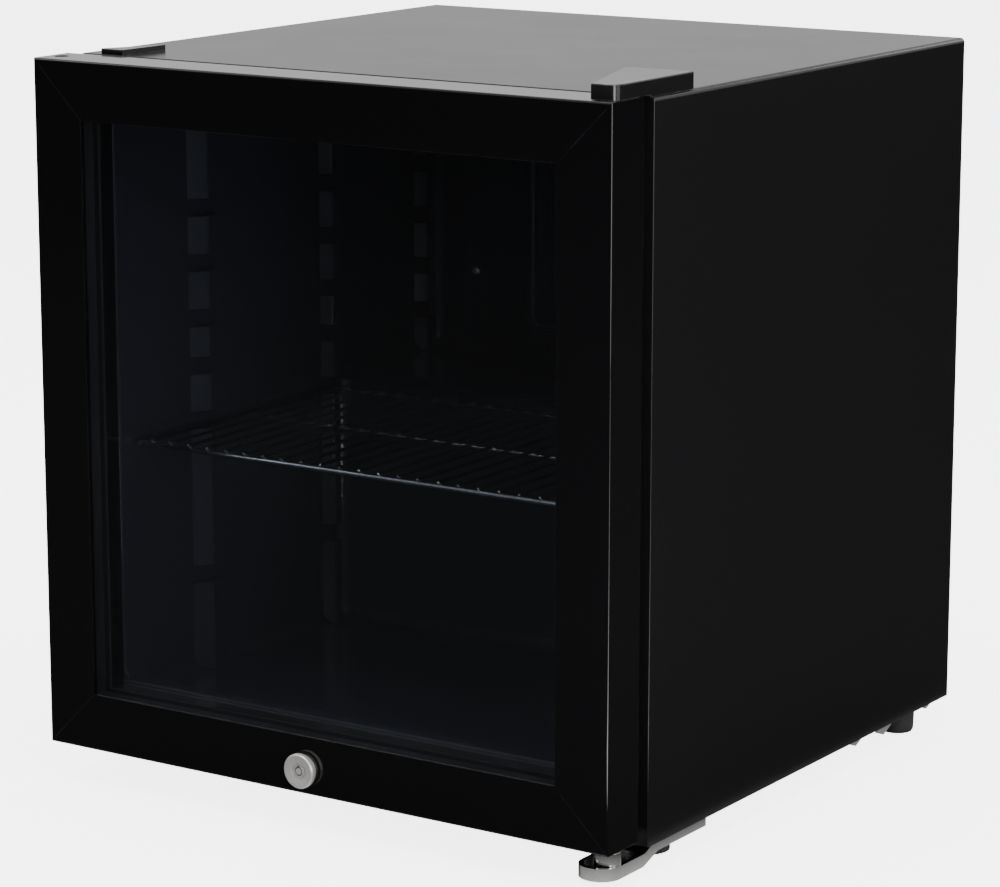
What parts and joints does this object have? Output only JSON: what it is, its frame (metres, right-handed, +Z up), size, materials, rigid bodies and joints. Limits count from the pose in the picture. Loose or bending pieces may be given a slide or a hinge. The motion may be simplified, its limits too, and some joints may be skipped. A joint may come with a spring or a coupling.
{
  "type": "mini fridge",
  "caption": "Glass-door mini fridge with a black steel cabinet, framed hinged door with a key lock, wire shelf and a compressor cooling unit at the lower back.",
  "frame": {"origin": "on the floor, under the middle of the whole box", "axes": "+Z up, -Y out of the door's front, +X to the hinge side"},
  "size_m": [0.43, 0.449, 0.482],
  "materials": {
    "cabinet_paint": "satin black enamel on steel",
    "galvanised_sheet": "zinc coated sheet",
    "liner_plastic": "dark vacuum formed liner",
    "foam": "rigid foam",
    "evaporator_aluminium": "dark coated aluminium plate",
    "screw_steel": "plated steel",
    "inner_plastic": "fine grain plastic",
    "knob_plastic": "moulded plastic",
    "lamp_lens": "frosted lens",
    "door_gloss": "piano black",
    "key_plastic": "moulded key",
    "door_glass": "tinted float glass",
    "spacer_aluminium": "dark anodised",
    "seal_rubber": "black seal",
    "gasket_rubber": "magnetic gasket",
    "bush_plastic": "acetal bush",
    "plug_plastic": "black plug",
    "bracket_steel": "bright plated steel",
    "cover_gloss": "gloss black moulding",
    "lock_nickel": "satin nickel",
    "foot_plastic": "black foot",
    "foot_rubber": "black rubber",
    "compressor_paint": "black shell",
    "relay_plastic": "black moulding",
    "drain_plastic": "white tube",
    "condenser_paint": "black coated tube and wire",
    "copper": "copper tube",
    "shelf_wire": "plated wire"
  },
  "bodies": {
    "cabinet": {"base_plate": "galvanised_sheet", "bottom_panel": "galvanised_sheet", "cabinet_foam": "foam", "capillary_tube": "copper", "compressor": "compressor_paint", "compressor_bolts": "screw_steel", "compressor_grommets": "foot_rubber", "condenser_clips": "relay_plastic", "condenser_coil": "condenser_paint", "condenser_grid": "condenser_paint", "cord_gland": "foot_rubber", "discharge_pipe": "copper", "drain_tube": "drain_plastic", "evaporation_tray": "relay_plastic", "evaporator_plate": "evaporator_aluminium", "evaporator_screws": "screw_steel", "filter_drier": "copper", "foot_nuts": "screw_steel", "hinge_blank": "cover_gloss", "hinge_cover": "cover_gloss", "hinge_screws": "screw_steel", "inner_liner": "liner_plastic", "lamp_cover": "lamp_lens", "lock_strike": "galvanised_sheet", "lower_hinge_bracket": "bracket_steel", "lower_hinge_pin": "bracket_steel", "outer_shell": "cabinet_paint", "rear_feet": "foot_rubber", "rear_panel": "cabinet_paint", "relay_cover": "relay_plastic", "strike_screws": "screw_steel", "suction_pipe": "copper", "thermostat_housing": "inner_plastic", "upper_hinge_bracket": "bracket_steel", "upper_hinge_pin": "bracket_steel"},
    "door": {"door_rail_bottom": "door_gloss", "door_rail_top": "door_gloss", "door_stile_left": "door_gloss", "door_stile_right": "door_gloss", "corner_keys": "key_plastic", "outer_glass": "door_glass", "glass_spacer": "spacer_aluminium", "inner_glass": "door_glass", "glazing_seal": "seal_rubber", "door_gasket": "gasket_rubber", "hinge_bushes": "bush_plastic", "door_hole_plugs": "plug_plastic", "lock_body": "lock_nickel", "lock_nut": "screw_steel"},
    "lock_barrel": {"lock_plug": "lock_nickel", "lock_cam": "screw_steel", "cam_screw": "screw_steel"},
    "shelf": {"wire_shelf": "shelf_wire"},
    "knob": {"thermostat_knob": "knob_plastic"},
    "lamp_rocker": {"light_switch": "knob_plastic"},
    "foot_left": {"front_foot_left": "foot_plastic"},
    "foot_right": {"front_foot_right": "foot_plastic"}
  },
  "joints": [
    {"name": "door_swing", "type": "hinge", "parent": "cabinet", "child": "door", "pos_m": [0.205, -0.2025, 0.25], "axis": [0, 0, 1], "range_deg": [0, 110]},
    {"name": "lock_turn", "type": "hinge", "parent": "door", "child": "lock_barrel", "pos_m": [-0.009, -0.2185, 0.04], "axis": [0, -1, 0], "range_deg": [0, 90]},
    {"name": "shelf_slide", "type": "slide", "parent": "cabinet", "child": "shelf", "axis": [0, -1, 0], "range_m": [0, 0.024]},
    {"name": "thermostat_turn", "type": "hinge", "parent": "cabinet", "child": "knob", "pos_m": [0.15, 0.0935, 0.419], "axis": [-1, 0, 0], "range_deg": [0, 270]},
    {"name": "lamp_switch_rock", "type": "hinge", "parent": "cabinet", "child": "lamp_rocker", "pos_m": [0.163, 0.1475, 0.419], "axis": [0, 0, 1], "range_deg": [-6, 6]},
    {"name": "foot_left_turn", "type": "hinge", "parent": "cabinet", "child": "foot_left", "pos_m": [-0.188, -0.1285, 0.01], "axis": [0, 0, 1], "range_deg": [0, 180]},
    {"name": "foot_right_turn", "type": "hinge", "parent": "cabinet", "child": "foot_right", "pos_m": [0.188, -0.1285, 0.01], "axis": [0, 0, 1], "range_deg": [0, 180]}
  ]
}
